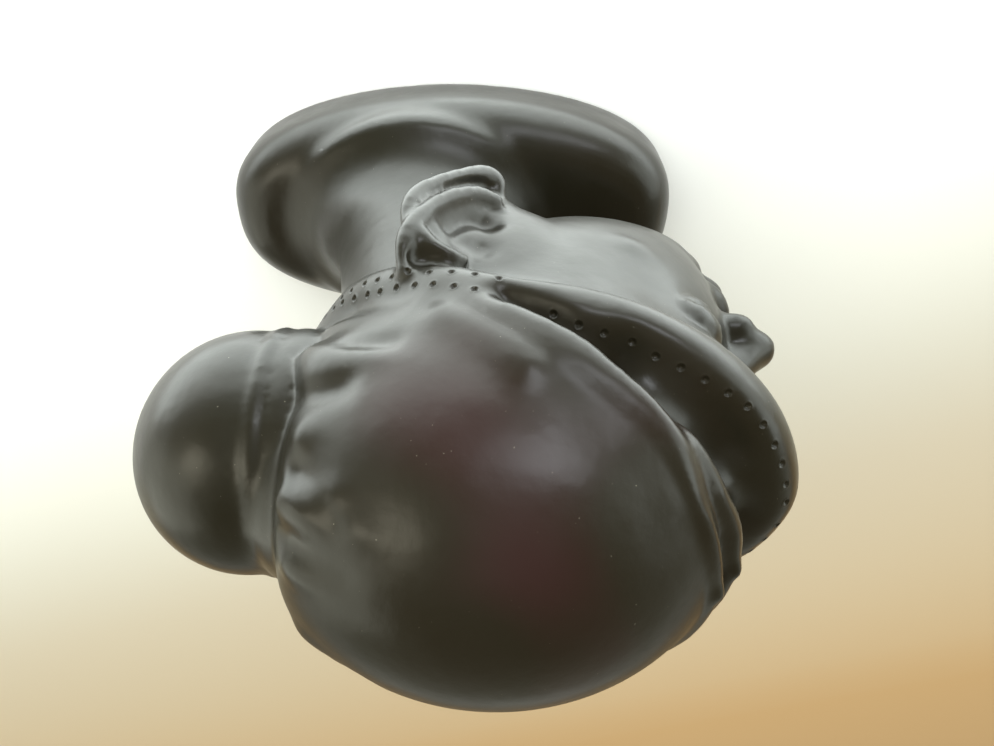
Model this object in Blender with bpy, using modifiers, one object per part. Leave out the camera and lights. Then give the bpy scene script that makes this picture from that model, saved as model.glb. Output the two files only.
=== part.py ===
"""Bust of a woman in a headscarf, cast in one with its oval plinth.

+Z is up, the face looks along -Y, and the origin is the middle of the plinth's flat underside.
Lengths are in metres. The figure's proportions are shares of HEAD_HEIGHT, chin to crown, given as
(side, front, up): side along +X, front along -Y, and up from the chin's level on the neck's axis.
Forms are modelled in clay: overlapping masses are fused into one skin and softened, finer
features are fused on, folds are drawn as strokes, and the skin is thinned and cut flat below.
"""

import math

import bmesh
import bpy
import numpy as np
from mathutils import Matrix, Vector

# Driving sizes
PLINTH_LENGTH = 0.198
PLINTH_WIDTH = 0.100
PLINTH_HEIGHT = 0.046
PLINTH_TOP_EDGE = 0.020
PLINTH_FOOT_EDGE = 0.006
NECK_LENGTH = 0.034
NECK_FLARE = 0.011
HEAD_HEIGHT = 0.185

# How finely the clay is held while it is modelled, and how wide its joints are softened
CLAY_GRAIN = 0.0017
FINE_GRAIN = 0.0015
MASS_BLEND = 0.0060
FACE_BLEND = 0.0040
FEATURE_BLEND = 0.0019
CUT_DEPTH = 0.004
CAST_TRIANGLES = 9600

CLAY_COLOUR = (0.030, 0.026, 0.020, 1.0)
CLAY_ROUGHNESS = 0.32

# The headscarf's dome over the hair, in head shares
DOME_CENTRE = Vector((0, 0.107, 0.663))
DOME_RADII = Vector((0.284, 0.357, 0.337))
KNOT_CENTRE = Vector((0, -0.205, 0.602))
KNOT_RADII = Vector((0.166, 0.172))


# Places on the figure


def head_point(side, front, up):
    """World place of a point given in shares of the head's height."""
    chin_level = PLINTH_HEIGHT + NECK_LENGTH
    return Vector((side * HEAD_HEIGHT, -front * HEAD_HEIGHT, chin_level + up * HEAD_HEIGHT))


def dome_point(azimuth, elevation, lift=0.0):
    """Shares of a point on the dome, azimuth 0 at the forehead and 90 at the figure's left."""
    a, e = math.radians(azimuth), math.radians(elevation)
    ray = Vector((math.cos(e) * math.sin(a), math.cos(e) * math.cos(a), math.sin(e)))
    reach = 1 / Vector([ray[i] / DOME_RADII[i] for i in range(3)]).length
    return DOME_CENTRE + ray * (reach + lift)


def smooth_path(points, steps=8):
    """Points along a Catmull-Rom curve through the given ones. Works on any number of columns."""
    p = np.array([tuple(q) for q in points], float)
    p = np.vstack([2 * p[0] - p[1], p, 2 * p[-1] - p[-2]])
    t = np.linspace(0, 1, steps, endpoint=False)[:, None]
    runs = []
    for a, b, c, d in zip(p, p[1:], p[2:], p[3:]):
        bend = (2 * a - 5 * b + 4 * c - d) * t**2 + (3 * b - a - 3 * c + d) * t**3
        runs.append(b + 0.5 * ((c - a) * t + bend))
    return np.vstack(runs + [p[-2:-1]])


# Clay forms


def new_object(name, bm):
    mesh = bpy.data.meshes.new(name)
    bm.to_mesh(mesh)
    bm.free()
    obj = bpy.data.objects.new(name, mesh)
    bpy.context.scene.collection.objects.link(obj)
    return obj


def ball(centre, radii, turn=0.0):
    """An ellipsoid in head shares, turned by degrees about the up axis."""
    bm = bmesh.new()
    bmesh.ops.create_uvsphere(bm, u_segments=64, v_segments=40, radius=HEAD_HEIGHT)
    place = (
        Matrix.Translation(head_point(*centre))
        @ Matrix.Rotation(math.radians(turn), 4, "Z")
        @ Matrix.Diagonal((*radii, 1.0))
    )
    bmesh.ops.transform(bm, matrix=place, verts=bm.verts)
    return new_object("ball", bm)


def loft(sections, closed=False):
    """A skin over rings of points. An open one is capped at both ends."""
    bm = bmesh.new()
    rings = [[bm.verts.new(point) for point in section] for section in sections]
    pairs = list(zip(rings, rings[1:]))
    if closed:
        pairs.append((rings[-1], rings[0]))
    for low, high in pairs:
        for i in range(len(low)):
            j = (i + 1) % len(low)
            bm.faces.new((low[i], low[j], high[j], high[i]))
    if not closed:
        bm.faces.new(list(reversed(rings[0])))
        bm.faces.new(rings[-1])
    bmesh.ops.recalc_face_normals(bm, faces=bm.faces)
    return new_object("loft", bm)


def ring_angles(count):
    return np.linspace(0, 2 * math.pi, count, endpoint=False)


def roll_of_clay(points, radii, middle=None, flat=1.0, closed=False):
    """A coil through points in head shares, as thick as the radii. Its thickness away from the
    middle, a point in shares, is the radius times flat."""
    if closed:
        points = list(points) + list(points[:1])
        radii = list(radii) + list(radii[:1])
    path = smooth_path([(*point, radius) for point, radius in zip(points, radii)])
    if closed:
        path = path[:-1]
    places = [head_point(*p[:3]) for p in path]
    heart = head_point(*(middle or DOME_CENTRE))
    last = len(path) - 1
    sections = []
    for i, place in enumerate(places):
        if closed:
            along = places[(i + 1) % len(places)] - places[i - 1]
        else:
            along = places[min(i + 1, last)] - places[max(i - 1, 0)]
        along.normalize()
        out = place - heart
        out = (out - along * out.dot(along)).normalized()
        across = out.cross(along).normalized()
        size = path[i][3] * HEAD_HEIGHT
        sections.append(
            [
                place + across * size * math.sin(a) + out * size * flat * math.cos(a)
                for a in ring_angles(20)
            ]
        )
    return loft(sections, closed)


def fuse(parts, blend, grain=CLAY_GRAIN, name="bust"):
    """Joins overlapping forms into one skin, and softens its creases over the blend's width."""
    bpy.ops.object.select_all(action="DESELECT")
    for part in parts:
        part.select_set(True)
    bpy.context.view_layer.objects.active = parts[0]
    bpy.ops.object.join()
    joined = bpy.context.view_layer.objects.active
    joined.name = name
    joined.data.name = name
    skin = joined.modifiers.new("Skin", "REMESH")
    skin.mode = "VOXEL"
    skin.voxel_size = grain
    soften = joined.modifiers.new("Soften", "SMOOTH")
    soften.factor = 0.5
    soften.iterations = max(1, round((blend / grain) ** 2))
    apply_modifiers(joined)
    return joined


def apply_modifiers(obj):
    graph = bpy.context.evaluated_depsgraph_get()
    mesh = bpy.data.meshes.new_from_object(obj.evaluated_get(graph))
    obj.modifiers.clear()
    old = obj.data
    obj.data = mesh
    bpy.data.meshes.remove(old)


def draw_strokes(obj, strokes):
    """Moves the skin along its normals near each stroke. A stroke is a path in head shares, its
    width and its height in shares, below 0 for a groove."""
    count = len(obj.data.vertices)
    places = np.empty(count * 3, np.float32)
    normals = np.empty(count * 3, np.float32)
    obj.data.vertices.foreach_get("co", places)
    obj.data.vertices.foreach_get("normal", normals)
    places = places.reshape(-1, 3)
    normals = normals.reshape(-1, 3)
    moves = np.zeros(count)
    for points, width, height in strokes:
        path = np.array([head_point(*p) for p in smooth_path(points, 12)])
        reach = 2.2 * width * HEAD_HEIGHT
        near = np.all((places > path.min(0) - reach) & (places < path.max(0) + reach), axis=1)
        near = np.flatnonzero(near)
        gaps = np.full(len(near), np.inf)
        for a, b in zip(path, path[1:]):
            run = b - a
            share = np.clip((places[near] - a) @ run / max(run @ run, 1e-12), 0, 1)
            gaps = np.minimum(gaps, np.linalg.norm(places[near] - a - share[:, None] * run, axis=1))
        fall = np.exp(-((gaps / (width * HEAD_HEIGHT)) ** 2))
        moves[near] += height * HEAD_HEIGHT * fall
    places += normals * moves[:, None]
    obj.data.vertices.foreach_set("co", places.ravel())
    obj.data.update()


def both_sides(make):
    """What make builds for the figure's left, and again for its right."""
    return make(1) + make(-1)


# Plinth and neck


def plinth():
    """The oval slab, with a wide round on its upper edge and a small one at its foot."""
    angles = ring_angles(96)
    blunt_ends, arched_sides = 0.74, 1.04
    outline_x = np.sign(np.cos(angles)) * np.abs(np.cos(angles)) ** blunt_ends
    outline_y = np.sign(np.sin(angles)) * np.abs(np.sin(angles)) ** arched_sides
    levels = [(PLINTH_FOOT_EDGE, -CUT_DEPTH)]
    for turn in np.linspace(0, math.pi / 2, 7):
        inset = PLINTH_FOOT_EDGE * (1 - math.sin(turn))
        levels.append((inset, PLINTH_FOOT_EDGE * (1 - math.cos(turn))))
    for turn in np.linspace(0, math.pi / 2, 13):
        inset = PLINTH_TOP_EDGE * (1 - math.cos(turn))
        levels.append((inset, PLINTH_HEIGHT - PLINTH_TOP_EDGE * (1 - math.sin(turn))))
    sections = []
    for inset, z in levels:
        x = outline_x * (PLINTH_WIDTH / 2 - inset)
        y = outline_y * (PLINTH_LENGTH / 2 - inset)
        sections.append(np.stack([x, y, np.full_like(x, z)], axis=1))
    return loft(sections)


def neck():
    """An oval column that leans forward and flares into the plinth's top."""
    foot = -(PLINTH_HEIGHT * 0.5 + NECK_LENGTH) / HEAD_HEIGHT
    half_width, half_depth = 0.152, 0.174
    spread_width, spread_depth = 0.110, 0.143
    sections = []
    for up in np.linspace(foot, 0.45, 25):
        above_plinth = max(up * HEAD_HEIGHT + NECK_LENGTH, 0.0)
        flare = math.exp(-above_plinth / NECK_FLARE)
        wide = half_width + spread_width * flare
        deep = half_depth + spread_depth * flare
        front = -0.075 + 0.16 * max(up + 0.1, 0.0)
        sections.append(
            [head_point(wide * math.cos(a), front + deep * math.sin(a), up) for a in ring_angles(64)]
        )
    return loft(sections)


# Head and face


def head_form():
    """The bare head as a stack of plan sections, from under the chin to the skull."""
    middle = 0.12
    rows = [
        (-0.012, 0.050, 0.450, 0.300),
        (0.020, 0.098, 0.510, 0.220),
        (0.075, 0.138, 0.532, 0.140),
        (0.140, 0.180, 0.524, 0.050),
        (0.210, 0.210, 0.532, -0.020),
        (0.300, 0.234, 0.528, -0.090),
        (0.400, 0.246, 0.518, -0.150),
        (0.480, 0.249, 0.516, -0.180),
        (0.550, 0.250, 0.528, -0.200),
        (0.640, 0.240, 0.505, -0.180),
        (0.720, 0.200, 0.420, -0.120),
    ]
    sections = []
    for up, half_width, front, back in smooth_path(rows, 4):
        centre = min(max(middle, (front + back) / 2 - 0.02), front)
        sections.append(
            [
                head_point(
                    half_width * math.sin(a),
                    centre + (front - centre if math.cos(a) > 0 else centre - back) * math.cos(a),
                    up,
                )
                for a in ring_angles(72)
            ]
        )
    return loft(sections)


def occiput():
    return ball((0, -0.01, 0.44), (0.215, 0.215, 0.215))


def cheekbones(side):
    return [ball((side * 0.118, 0.305, 0.328), (0.110, 0.112, 0.085))]


def nose():
    bridge = roll_of_clay(
        [(0, 0.470, 0.500), (0, 0.492, 0.445), (0, 0.532, 0.390), (0, 0.570, 0.335)],
        [0.030, 0.027, 0.032, 0.042],
        middle=(0, 0.1, 0.4),
    )
    tip = ball((0, 0.578, 0.330), (0.042, 0.046, 0.038))
    wings = [ball((side * 0.042, 0.540, 0.322), (0.032, 0.042, 0.030)) for side in (1, -1)]
    return [bridge, tip, *wings]


def lips():
    upper = roll_of_clay(
        [
            (-0.086, 0.486, 0.203),
            (-0.050, 0.524, 0.216),
            (-0.013, 0.540, 0.221),
            (0.013, 0.540, 0.221),
            (0.050, 0.524, 0.216),
            (0.086, 0.486, 0.203),
        ],
        [0.008, 0.020, 0.025, 0.025, 0.020, 0.008],
        middle=(0, 0.3, 0.2),
    )
    lower = roll_of_clay(
        [
            (-0.078, 0.488, 0.193),
            (-0.040, 0.526, 0.178),
            (0, 0.538, 0.174),
            (0.040, 0.526, 0.178),
            (0.078, 0.488, 0.193),
        ],
        [0.008, 0.024, 0.028, 0.024, 0.008],
        middle=(0, 0.3, 0.2),
    )
    return [upper, lower]


def chin():
    return ball((0, 0.470, 0.072), (0.072, 0.074, 0.060))


def eye_point(side, across, rise, reach=0.060):
    """A place on an eyeball, by degrees across, outward from straight ahead, and degrees of rise."""
    a, r = math.radians(across + 8), math.radians(rise)
    centre = Vector((side * 0.112, 0.408, 0.445))
    ray = Vector((side * math.sin(a) * math.cos(r), math.cos(a) * math.cos(r), math.sin(r)))
    return centre + ray * reach


def lid(side, slope):
    """Half a shell over the eyeball. Its edge slopes up at the front, or down for the lower lid."""
    reach = 0.070 if slope > 0 else 0.067
    bm = bmesh.new()
    bmesh.ops.create_uvsphere(bm, u_segments=64, v_segments=40, radius=reach * HEAD_HEIGHT)
    tip = math.radians(slope)
    outward = Vector((0, math.sin(tip), math.cos(tip)))
    if slope < 0:
        outward = -outward
    everything = bm.verts[:] + bm.edges[:] + bm.faces[:]
    cut = bmesh.ops.bisect_plane(
        bm, geom=everything, plane_co=(0, 0, 0), plane_no=-outward, clear_outer=True
    )
    rim = [e for e in cut["geom_cut"] if isinstance(e, bmesh.types.BMEdge)]
    bmesh.ops.contextual_create(bm, geom=rim)
    bmesh.ops.translate(bm, vec=head_point(*eye_point(side, 0, 0, 0.0)), verts=bm.verts)
    return new_object("lid", bm)


def eye(side):
    globe = ball(eye_point(side, 0, 0, 0.0), (0.060, 0.060, 0.060))
    return [globe, lid(side, 15), lid(side, -22)]


def ear(side):
    """The part of an ear that the scarf leaves bare: its plate, folded rim, lobe and inner arc."""

    def at(out, front, up):
        return (side * out, front, up)

    heart = at(0.15, 0.05, 0.34)
    core = ball(at(0.206, 0.036, 0.345), (0.052, 0.080, 0.170), turn=side * 15)
    plate = roll_of_clay(
        [
            at(0.258, 0.012, 0.54),
            at(0.266, 0.022, 0.44),
            at(0.264, 0.044, 0.345),
            at(0.256, 0.070, 0.260),
            at(0.248, 0.086, 0.205),
        ],
        [0.040, 0.050, 0.058, 0.048, 0.030],
        at(0.15, -0.02, 0.34),
        flat=0.42,
    )
    rim = roll_of_clay(
        [
            at(0.284, -0.020, 0.520),
            at(0.302, -0.023, 0.440),
            at(0.310, -0.025, 0.368),
            at(0.308, -0.012, 0.328),
            at(0.301, 0.020, 0.272),
            at(0.289, 0.054, 0.222),
            at(0.277, 0.084, 0.184),
            at(0.262, 0.102, 0.178),
            at(0.248, 0.110, 0.205),
        ],
        [0.0125, 0.0135, 0.0140, 0.0140, 0.0140, 0.0155, 0.0195, 0.0205, 0.0120],
        heart,
        flat=1.25,
    )
    arc = roll_of_clay(
        [
            at(0.290, -0.022, 0.540),
            at(0.302, -0.024, 0.475),
            at(0.305, -0.010, 0.424),
            at(0.301, 0.014, 0.360),
            at(0.294, 0.046, 0.310),
            at(0.282, 0.080, 0.278),
            at(0.262, 0.114, 0.262),
        ],
        [0.0125, 0.0140, 0.0145, 0.0145, 0.0145, 0.0150, 0.0130],
        heart,
        flat=1.1,
    )
    spur = roll_of_clay(
        [
            at(0.300, -0.008, 0.450),
            at(0.290, 0.008, 0.472),
            at(0.280, 0.032, 0.484),
            at(0.264, 0.062, 0.482),
        ],
        [0.0115, 0.0105, 0.0100, 0.0080],
        heart,
    )
    return [core, plate, rim, arc, spur]


def ear_roots(side):
    """The swell of the cheek and jaw that carries the ear."""
    return [
        ball((side * 0.206, 0.122, 0.360), (0.052, 0.110, 0.170)),
        ball((side * 0.204, 0.082, 0.250), (0.062, 0.078, 0.110), turn=-side * 14),
    ]


def socket_strokes(side):
    hollow = ([(side * 0.075, 0.500, 0.450), (side * 0.150, 0.480, 0.450)], 0.048, -0.036)
    temple = ([(side * 0.225, 0.370, 0.470), (side * 0.215, 0.385, 0.520)], 0.060, -0.010)
    return [hollow, temple]


def face_strokes(side):
    brow = (
        [(side * 0.045, 0.520, 0.512), (side * 0.115, 0.505, 0.535), (side * 0.190, 0.440, 0.505)],
        0.026,
        0.013,
    )
    lid_crease = ([eye_point(side, across, 42) for across in (-40, 0, 40)], 0.010, -0.008)
    nostril = ([(side * 0.022, 0.565, 0.296), (side * 0.034, 0.545, 0.298)], 0.010, -0.012)
    mouth_corner = ([(side * 0.090, 0.497, 0.198), (side * 0.096, 0.490, 0.200)], 0.014, -0.008)
    return [brow, lid_crease, nostril, mouth_corner]


def mouth_strokes():
    parting = (
        [
            (-0.088, 0.488, 0.198),
            (-0.045, 0.543, 0.198),
            (0, 0.560, 0.196),
            (0.045, 0.543, 0.198),
            (0.088, 0.488, 0.198),
        ],
        0.0075,
        -0.012,
    )
    philtrum = ([(0, 0.560, 0.272), (0, 0.565, 0.238)], 0.009, -0.006)
    under_lip = ([(-0.035, 0.535, 0.138), (0.035, 0.535, 0.138)], 0.024, -0.010)
    return [parting, philtrum, under_lip]


def ear_strokes(side):
    """Hollows of the ear: the bowl, the pocket by the scarf and the groove along the rim."""
    bowl = (
        [(side * 0.290, 0.040, 0.396), (side * 0.280, 0.066, 0.352), (side * 0.268, 0.094, 0.332)],
        0.017,
        -0.028,
    )
    hollow = ([(side * 0.280, 0.050, 0.430), (side * 0.266, 0.088, 0.415)], 0.020, -0.012)
    pocket = ([(side * 0.288, 0.000, 0.520), (side * 0.278, 0.022, 0.514)], 0.014, -0.024)
    groove = (
        [
            (side * 0.308, -0.014, 0.388),
            (side * 0.305, 0.004, 0.332),
            (side * 0.298, 0.034, 0.278),
            (side * 0.288, 0.064, 0.238),
            (side * 0.276, 0.090, 0.216),
        ],
        0.0095,
        -0.022,
    )
    return [bowl, hollow, pocket, groove]


# Headscarf


def border_line(azimuth):
    """Shares of the middle of the scarf's border, which rises from the nape to the forehead."""
    a = math.radians(azimuth)
    depth = 0.364 if math.cos(a) > 0 else 0.300
    side = 0.283 * math.sin(a)
    front = 0.115 + depth * math.cos(a)
    up = 0.600 + 0.065 * max(math.cos(a), 0) ** 1.1 - 0.214 * max(-math.cos(a), 0) ** 1.1
    return Vector((side, front, up))


def border_point(azimuth, turn, swell=1.0):
    """World place on the border's skin, turned by radians from its outer side to its upper edge."""
    front_share = max(0.0, 1 - abs(azimuth) / 84)
    half_width = (0.036 + 0.049 * front_share) * HEAD_HEIGHT * swell
    half_thick = (0.022 + 0.058 * front_share**1.2) * HEAD_HEIGHT * swell
    place = head_point(*border_line(azimuth))
    along = head_point(*border_line(azimuth + 2)) - head_point(*border_line(azimuth - 2))
    along.normalize()
    out = place - head_point(0, 0.11, 0.60)
    out.z *= 0.25
    out = (out - along * out.dot(along)).normalized()
    rise = out.cross(along).normalized()
    return place + rise * math.sin(turn) * half_width + out * math.cos(turn) * half_thick


def border():
    """The scarf's edge: a flat band at nape and ears that swells to a rolled brim in front."""
    rings = [
        [border_point(azimuth, turn) for turn in ring_angles(24)]
        for azimuth in np.arange(-180, 180, 4)
    ]
    return loft(rings, closed=True)


def ridge(course, lift):
    """A rolled fold round the crown. Its course runs from the forehead to one side, as rows of
    azimuth, elevation and radius, and the other side mirrors it."""
    rows = smooth_path(course, 6)
    rows = [(-azimuth, rise, radius) for azimuth, rise, radius in rows[:0:-1]] + list(map(tuple, rows))
    points = [dome_point(azimuth, rise, lift) for azimuth, rise, radius in rows]
    return roll_of_clay(points, [radius for azimuth, rise, radius in rows])


def crown_ridges():
    """The folded edges of the scarf's crown: a long one to the nape, and a short one below it."""
    long_fold = [
        (0, 35, 0.022),
        (12, 34.5, 0.024),
        (23, 32.5, 0.027),
        (32, 29, 0.030),
        (40, 25.5, 0.034),
        (46, 22.5, 0.037),
        (58, 17.5, 0.040),
        (68, 12, 0.041),
        (75, 7, 0.040),
        (84, -1, 0.037),
        (95, -11, 0.033),
        (109, -21, 0.029),
        (123, -27, 0.026),
        (146, -34, 0.014),
    ]
    short_fold = [
        (0, 26, 0.020),
        (12, 26, 0.021),
        (21, 25.5, 0.022),
        (28, 24, 0.022),
        (36, 22, 0.020),
        (48, 19, 0.014),
    ]
    return [ridge(long_fold, -0.016), ridge(short_fold, -0.006)]


def trough_strokes(side):
    """The valley between the brim and the folds of the crown, and the brim's crisp upper edge."""
    wide = [(56, 7), (46, 11.5), (38, 13.5), (30, 15), (22, 16)]
    middle = [(26, 15.5), (18, 16.5), (9, 17), (0, 17)]
    narrow = [(88, -9), (78, -2), (70, 3), (62, 6), (54, 9)]
    return [
        ([dome_point(side * a, e, 0.010) for a, e in wide], 0.038, -0.036),
        ([dome_point(side * a, e, 0.010) for a, e in middle], 0.038, -0.016),
        ([dome_point(side * a, e, 0.010) for a, e in narrow], 0.018, -0.036),
    ]


def bun():
    return ball((0, -0.264, 0.603), (0.188, 0.180, 0.193))


def knot_point(angle, back=0.0, spread=1.0):
    """A place on the ring where the scarf is tied, angle 0 at the top, 90 at the figure's left."""
    a = math.radians(angle)
    side = KNOT_RADII.x * spread * math.sin(a)
    up = KNOT_RADII.y * spread * math.cos(a)
    return KNOT_CENTRE + Vector((side, -back, up))


def tie():
    """The flat band wound round the root of the bun."""
    angles = range(0, 360, 20)
    band = [knot_point(angle, -0.022, 1.02) for angle in angles]
    edge = [knot_point(angle, 0.016, 1.07) for angle in angles]
    heart = tuple(KNOT_CENTRE)
    return [
        roll_of_clay(band, [0.036] * len(band), heart, flat=0.55, closed=True),
        roll_of_clay(edge, [0.014] * len(edge), heart, closed=True),
    ]


def dome_front(side, up):
    """How far to the front the dome's back half is at a side and a height, or None beside it."""
    reach = 1 - (side / DOME_RADII.x) ** 2 - ((up - DOME_CENTRE.z) / DOME_RADII.z) ** 2
    return DOME_CENTRE.y - DOME_RADII.y * math.sqrt(reach) if reach > 0.02 else None


def gather_edge(angle):
    """Spread of the ring where the pleats end round the bun. It is widest over the top."""
    return 1.12 + 0.44 * max(math.cos(math.radians(angle)), 0) ** 1.2


def gathers():
    """Pleats over the back of the dome, thick where the tie draws them in. Each row has its course
    as azimuth and elevation on the dome, and its thickness."""
    rows = [
        ([(149, -12), (135, 1), (121, 12), (106, 21)], 0.076),
        ([(146, 14), (137, 20), (127, 27)], 0.042),
        ([(148, 25), (140, 31), (130, 38)], 0.054),
        ([(153, 35), (146, 44), (138, 53), (126, 62)], 0.060),
        ([(167, 36), (163, 47), (157, 58)], 0.050),
        ([(151, -25), (137, -20), (122, -11)], 0.046),
    ]
    pleats = []
    for side in (1, -1):
        for course, size in rows:
            points = []
            radii = []
            path = smooth_path(course, 4)
            for share, (azimuth, rise) in zip(np.linspace(0, 1, len(path)), path):
                radius = size * (0.72 + 0.28 * min(share * 4, 1)) * (1 - 0.85 * share**1.8)
                points.append(dome_point(side * azimuth, rise, -radius * (0.52 + 0.43 * share)))
                radii.append(radius)
            pleats.append(roll_of_clay(points, radii))
    return pleats


def gather_strokes():
    """The step down from the pleats' ends to the tie, and the valleys between the pleats."""
    spots = [knot_point(angle, 0, gather_edge(angle) - 0.17) for angle in range(-80, 81, 10)]
    step = [Vector((spot.x, dome_front(spot.x, spot.z), spot.z)) for spot in spots]
    strokes = [(step, 0.024, -0.020)]
    for course, width, depth in (
        ([(148, 2), (139, 9), (129, 16)], 0.018, -0.020),
        ([(148, 20), (141, 25), (133, 32)], 0.014, -0.012),
        ([(152, 30), (143, 38), (134, 46)], 0.018, -0.014),
        ([(161, 35), (156, 45), (150, 54)], 0.018, -0.012),
    ):
        for side in (1, -1):
            strokes.append(([dome_point(side * a, e) for a, e in course], width, depth))
    return strokes


def crown_strokes():
    """Long shallow folds over the crown, above the ridge."""
    strokes = []
    for side in (1, -1):
        apron = [(109, -13), (95, -3), (84, 7), (75, 15), (68, 20), (58, 26), (46, 31), (36, 36)]
        soft = [(104, -2), (94, 7), (86, 14), (79, 21), (74, 27)]
        small = [(62, 33), (54, 36)]
        for course, width, height in (
            (apron, 0.034, 0.007),
            (soft, 0.026, 0.014),
            (small, 0.020, 0.009),
        ):
            strokes.append(([dome_point(side * a, e) for a, e in course], width, height))
        dimple = [dome_point(side * a, e, 0.01) for a, e in ((40, 24), (32, 26.5), (22, 29))]
        strokes.append((dimple, 0.012, -0.014))
    return strokes


# Casting


def add_material(obj):
    material = bpy.data.materials.new("glazed_clay")
    material.use_nodes = True
    shader = material.node_tree.nodes["Principled BSDF"]
    shader.inputs["Base Color"].default_value = CLAY_COLOUR
    shader.inputs["Roughness"].default_value = CLAY_ROUGHNESS
    shader.inputs["Metallic"].default_value = 0.0
    obj.data.materials.clear()
    obj.data.materials.append(material)


def thin(obj, triangles):
    """Keeps about the given number of triangles, most of them where the skin bends."""
    thinner = obj.modifiers.new("Thin", "DECIMATE")
    thinner.ratio = triangles / (2 * len(obj.data.polygons))
    apply_modifiers(obj)


def cut_underside(obj):
    """Cuts the plinth flat at z = 0."""
    bm = bmesh.new()
    bm.from_mesh(obj.data)
    everything = bm.verts[:] + bm.edges[:] + bm.faces[:]
    cut = bmesh.ops.bisect_plane(
        bm, geom=everything, dist=1e-6, plane_co=(0, 0, 0), plane_no=(0, 0, -1), clear_outer=True
    )
    rim = [e for e in cut["geom_cut"] if isinstance(e, bmesh.types.BMEdge)]
    bmesh.ops.contextual_create(bm, geom=rim)
    bmesh.ops.triangulate(bm, faces=bm.faces)
    bm.to_mesh(obj.data)
    bm.free()


def clear_scene():
    for obj in list(bpy.data.objects):
        bpy.data.objects.remove(obj, do_unlink=True)


def main():
    clear_scene()
    masses = [plinth(), neck(), head_form(), occiput(), *both_sides(cheekbones), *both_sides(ear_roots)]
    masses += [ball(DOME_CENTRE, DOME_RADII), border(), bun()]
    bust = fuse(masses, MASS_BLEND)
    draw_strokes(bust, both_sides(socket_strokes))
    bust = fuse([bust, *nose(), *lips(), chin(), *gathers(), *crown_ridges()], FACE_BLEND)
    draw_strokes(bust, both_sides(trough_strokes) + gather_strokes())
    features = [*both_sides(eye), *both_sides(ear), *tie()]
    bust = fuse([bust, *features], FEATURE_BLEND, FINE_GRAIN)
    draw_strokes(bust, both_sides(face_strokes) + mouth_strokes())
    draw_strokes(bust, both_sides(ear_strokes) + crown_strokes())
    bust.name = "female_bust"
    thin(bust, CAST_TRIANGLES)
    cut_underside(bust)
    bust.data.shade_smooth()
    add_material(bust)
    parts = bpy.data.collections.new("female_bust")
    bpy.context.scene.collection.children.link(parts)
    bpy.context.scene.collection.objects.unlink(bust)
    parts.objects.link(bust)


main()
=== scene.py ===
"""Looks of a glazed bust of a woman in a headscarf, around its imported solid.

The figure is modelled again in finer clay than the solid: the same overlapping masses are fused
into one skin, then it gets the folds, the border's punched dots and the glaze.
+Z is up, the face looks along -Y, and the origin is the middle of the plinth's flat underside.
Lengths are in metres. The figure's proportions are shares of HEAD_HEIGHT, chin to crown, given as
(side, front, up): side along +X, front along -Y, and up from the chin's level on the neck's axis.
"""

import math

import bmesh
import bpy
import numpy as np
from mathutils import Matrix, Vector
from mathutils.bvhtree import BVHTree
from mathutils.kdtree import KDTree


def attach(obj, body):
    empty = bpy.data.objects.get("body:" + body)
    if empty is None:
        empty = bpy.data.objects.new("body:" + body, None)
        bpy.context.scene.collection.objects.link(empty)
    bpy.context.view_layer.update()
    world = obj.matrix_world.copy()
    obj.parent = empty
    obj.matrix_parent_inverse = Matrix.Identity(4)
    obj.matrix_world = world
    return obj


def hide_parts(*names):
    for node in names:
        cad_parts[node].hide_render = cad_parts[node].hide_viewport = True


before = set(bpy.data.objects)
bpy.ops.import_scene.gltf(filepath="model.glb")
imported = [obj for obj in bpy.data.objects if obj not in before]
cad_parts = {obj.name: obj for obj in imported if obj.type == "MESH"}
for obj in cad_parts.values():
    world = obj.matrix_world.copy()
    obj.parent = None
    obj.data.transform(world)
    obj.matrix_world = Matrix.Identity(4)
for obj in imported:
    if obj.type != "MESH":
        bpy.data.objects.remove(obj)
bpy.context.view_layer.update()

# Driving sizes, as the solid has them
PLINTH_LENGTH = 0.198
PLINTH_WIDTH = 0.100
PLINTH_HEIGHT = 0.046
PLINTH_TOP_EDGE = 0.020
PLINTH_FOOT_EDGE = 0.006
NECK_LENGTH = 0.034
NECK_FLARE = 0.011
HEAD_HEIGHT = 0.185

# How finely the clay is held while it is modelled, how wide its joints are softened, and how far
# each pass of softening moves a point towards its neighbours
CLAY_GRAIN = 0.0017
FINE_GRAIN = 0.0012
MASS_BLEND = 0.0060
FACE_BLEND = 0.0040
FEATURE_BLEND = 0.0019
LAST_BLEND = 0.0027
SMOOTHING = 0.5
SKIN_TRIANGLES = 150000

# How many points the forms have round and along, and the border's step in degrees
PLINTH_SIDES = 96
NECK_SIDES = 64
NECK_LEVELS = 25
HEAD_SIDES = 72
BALL_SIDES = 64
BALL_LEVELS = 40
ROLL_SIDES = 20
BORDER_SIDES = 24
BORDER_STEP = 4
STROKE_STEPS = 12

# A stroke's effect ends at this many of its widths
STROKE_REACH = 2.2

# The plinth starts CUT_DEPTH under the floor and is cut flat there. A point nearer to the floor
# than CUT_GAP counts as on it
CUT_DEPTH = 0.004
CUT_GAP = 1e-6

# Dots punched along the border, each drifting by a share of their spacing. They are placed by a
# walk in steps of DOT_WALK degrees, and a dot's lip is LIP_SHARE of its depth, LIP_AT radii out
DOT_SPACING = 0.0063
DOT_RADIUS = 0.00078
DOT_DEPTH = 0.00065
DOT_DRIFT = 0.1
DOT_WALK = 0.5
LIP_SHARE = 0.16
LIP_AT = 1.5
LIP_WIDTH = 0.4

# In dot radii: how near the skin a dot has to be, how far from a dot each pass makes the skin
# finer, the shortest edge that it splits, and how far a dot moves the skin
DOT_SEARCH = 6
FINER_WITHIN = (2.6, 2.0, 1.5)
SHORTEST_SPLIT = 0.35
PUNCH_REACH = 3

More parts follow.
